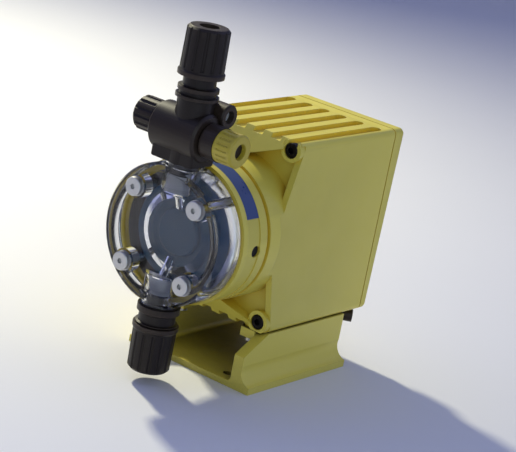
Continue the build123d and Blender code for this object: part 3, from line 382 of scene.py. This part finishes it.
# ---------------------------------------------------------------- stage
FLOOR_FRONT, FLOOR_SIDE = 3.0, 6.0
BEND_START, BEND_RADIUS, BEND_STEPS = 1.6, 0.8, 12
WALL_TOP = 2.2
FLOOR_TONES = (0.79, 0.80, 0.82), (0.83, 0.84, 0.86)
FLOOR_SCALE, FLOOR_ROUGH = 3.0, 0.75


def to_mesh(name, mesh):
    data = bpy.data.meshes.new(name)
    mesh.to_mesh(data)
    mesh.free()
    return data


def make_stage():
    """A floor square to the camera that bends up into a wall behind the pump."""
    surface = Surface("stage_floor")
    surface.set("Base Color", surface.mix(surface.noise(FLOOR_SCALE), *FLOOR_TONES))
    surface.set("Roughness", FLOOR_ROUGH)
    profile = [(-FLOOR_FRONT, 0)]
    for step in range(BEND_STEPS + 1):
        angle = step / BEND_STEPS * pi / 2
        profile.append((BEND_START + BEND_RADIUS * sin(angle), BEND_RADIUS - BEND_RADIUS * cos(angle)))
    profile.append((BEND_START + BEND_RADIUS, WALL_TOP))
    mesh = bmesh.new()
    rows = []
    for along, up in profile:
        rows.append([mesh.verts.new((side, along, up)) for side in (-FLOOR_SIDE, FLOOR_SIDE)])
    for near, far in zip(rows, rows[1:]):
        mesh.faces.new((near[0], near[1], far[1], far[0])).smooth = True
    floor = bpy.data.objects.new("stage_floor", to_mesh("stage_floor", mesh))
    floor.data.materials.append(surface.material)
    bpy.context.scene.collection.objects.link(floor)
    floor.rotation_euler.z = AZIMUTH


# ---------------------------------------------------------------- light
SKY_BEHIND = (0.37, 0.41, 0.78)
SKY_FRONT = (0.09, 0.10, 0.16)

# The sky goes from one to the other between these cosines of the angle to the camera's side.
SKY_BEHIND_TO, SKY_FRONT_FROM = -0.3, 0.6


def area_light(name, place, aim, size, power, color, spread=180):
    light = bpy.data.lights.new(name, "AREA")
    light.shape = "RECTANGLE"
    light.size, light.size_y = size
    light.energy = power
    light.color = color
    light.spread = radians(spread)
    lamp = bpy.data.objects.new(name, light)
    bpy.context.scene.collection.objects.link(lamp)
    lamp.location = place
    lamp.rotation_euler = (Vector(aim) - Vector(place)).to_track_quat("-Z", "Y").to_euler()


def light_scene():
    """A small warm key from behind left, a wide cool fill from front right, and a sky bluer behind."""
    area_light(
        "key", place=(-0.99, 0.35, 0.90), aim=(-0.28, -0.12, 0.0), size=(0.09, 0.09),
        power=11.0, color=(1.0, 0.95, 0.68), spread=140,
    )
    area_light(
        "fill", place=(1.1, -0.9, 0.7), aim=(0, 0, 0.1), size=(1.4, 1.0),
        power=4.0, color=(0.82, 0.95, 1.0),
    )
    world = bpy.data.worlds.new("studio")
    bpy.context.scene.world = world
    sky = Tree(world)
    background = sky.add("ShaderNodeBackground")
    output = sky.add("ShaderNodeOutputWorld")
    sky.link(background.outputs["Background"], output.inputs["Surface"])
    direction = sky.add("ShaderNodeTexCoord").outputs["Generated"]
    facing = sky.dot(direction, (sin(AZIMUTH), -cos(AZIMUTH), 0))
    share = sky.ramp(facing, 0.0, 1.0, SKY_BEHIND_TO, SKY_FRONT_FROM)
    sky.link(sky.mix(share, SKY_BEHIND, SKY_FRONT), background.inputs["Color"])
    bpy.context.scene.view_settings.view_transform = "Standard"


# ---------------------------------------------------------------- pieces
def add_piece(name, mesh_data, look):
    piece = bpy.data.objects.new(name, mesh_data)
    bpy.context.scene.collection.objects.link(piece)
    paint(piece, look)
    return piece


# ---------------------------------------------------------------- rear dials
COVER_LOW, COVER_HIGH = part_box("rear_cover")

# How far back the sloping rear face lies at the cover's bottom and at its top.
COVER_BOTTOM_Y, COVER_TOP_Y = 77.6 * MM, 81.4 * MM

TICKS = 21
TICK_GAP, TICK_WIDTH, TICK_DEPTH = 2.6 * MM, 0.5 * MM, 0.08 * MM
PRINT_LIFT = 0.05 * MM
STROKE_TICK, SPEED_TICK = 2.6 * MM, 2.2 * MM

# Every second tick is short: this share of a tick's length.
SHORT_TICK = 0.55

# The order in which a tick's four corners go round.
RING = (0, 1, 3, 2)


def cover_y(z):
    """y of the sloping rear face at height z."""
    share = (z - COVER_LOW[2]) / (COVER_HIGH[2] - COVER_LOW[2])
    return COVER_BOTTOM_Y + (COVER_TOP_Y - COVER_BOTTOM_Y) * share


def add_tick(mesh, middle, angle, start, end):
    """One printed bar on the rear face, from start to end out from middle."""
    outward = Vector((cos(angle), 0, sin(angle)))
    across = Vector((-sin(angle), 0, cos(angle))) * TICK_WIDTH / 2
    corners = [middle + outward * reach + across * side for reach in (start, end) for side in (-1, 1)]
    lower = [mesh.verts.new((point.x, cover_y(point.z) - TICK_DEPTH, point.z)) for point in corners]
    upper = [mesh.verts.new((point.x, cover_y(point.z) + PRINT_LIFT, point.z)) for point in corners]
    mesh.faces.new([upper[k] for k in RING])
    mesh.faces.new([lower[k] for k in reversed(RING)])
    for k, following in zip(RING, RING[1:] + RING[:1]):
        mesh.faces.new((lower[k], lower[following], upper[following], upper[k]))


def dial_ticks(name, knob, length, first, last):
    """Fine printed ticks around a knob on the rear face, from angle first to last."""
    middle_x, middle_z, radius = knob_middle(knob)
    middle = Vector((middle_x, 0, middle_z))
    start = radius + TICK_GAP
    mesh = bmesh.new()
    for i in range(TICKS):
        angle = radians(first + (last - first) * i / (TICKS - 1))
        reach = length * SHORT_TICK if i % 2 else length
        add_tick(mesh, middle, angle, start, start + reach)
    bmesh.ops.recalc_face_normals(mesh, faces=mesh.faces)
    ticks = add_piece(name, to_mesh(name, mesh), "print_black")
    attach(ticks, "pump")


# ---------------------------------------------------------------- clear head
AIR_GAP = 0.03 * MM
WELD = 0.001 * MM


def loosen(node):
    """Leaves a hair of air around a clear node, so that it doesn't share faces with its neighbours."""
    weld = nodes[node].modifiers.new("weld", "WELD")
    weld.merge_threshold = WELD
    shrink = nodes[node].modifiers.new("air gap", "DISPLACE")
    shrink.mid_level = 0
    shrink.strength = -AIR_GAP


def soft_copy(node):
    """A copy of a CAD node, in its slot's look, that stands for it while the node is hidden."""
    slot = slot_of[node]
    piece = add_piece("flexing_" + node, nodes[node].data.copy(), slot)
    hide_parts(node)
    return piece


def flexing_spring():
    """A copy of the return spring that stands for it and rides with the pump."""
    spring = soft_copy("return_spring")
    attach(spring, "pump")
    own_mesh(spring)


def flexing_diaphragm():
    """A copy of the diaphragm that stands for it; its points are moved and put back, so it keeps its rest
    shape.
    """
    diaphragm = soft_copy("diaphragm")
    points = diaphragm.data.vertices
    rest = [point.co.copy() for point in points]
    for point, place in zip(points, rest):
        point.co = (Vector((place.x, place.z - AIM_ORIGIN.z)).length, 0, 0)
    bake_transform(diaphragm)
    for point, place in zip(points, rest):
        point.co = place


# ---------------------------------------------------------------- scene
place_camera()
make_stage()
light_scene()
paint_nodes()
loosen("pump_head")
flexing_spring()
flexing_diaphragm()
dial_ticks("stroke_scale", "stroke_knob", STROKE_TICK, *STROKE_ANGLES)
dial_ticks("speed_scale", "speed_knob", SPEED_TICK, *SPEED_ANGLES)
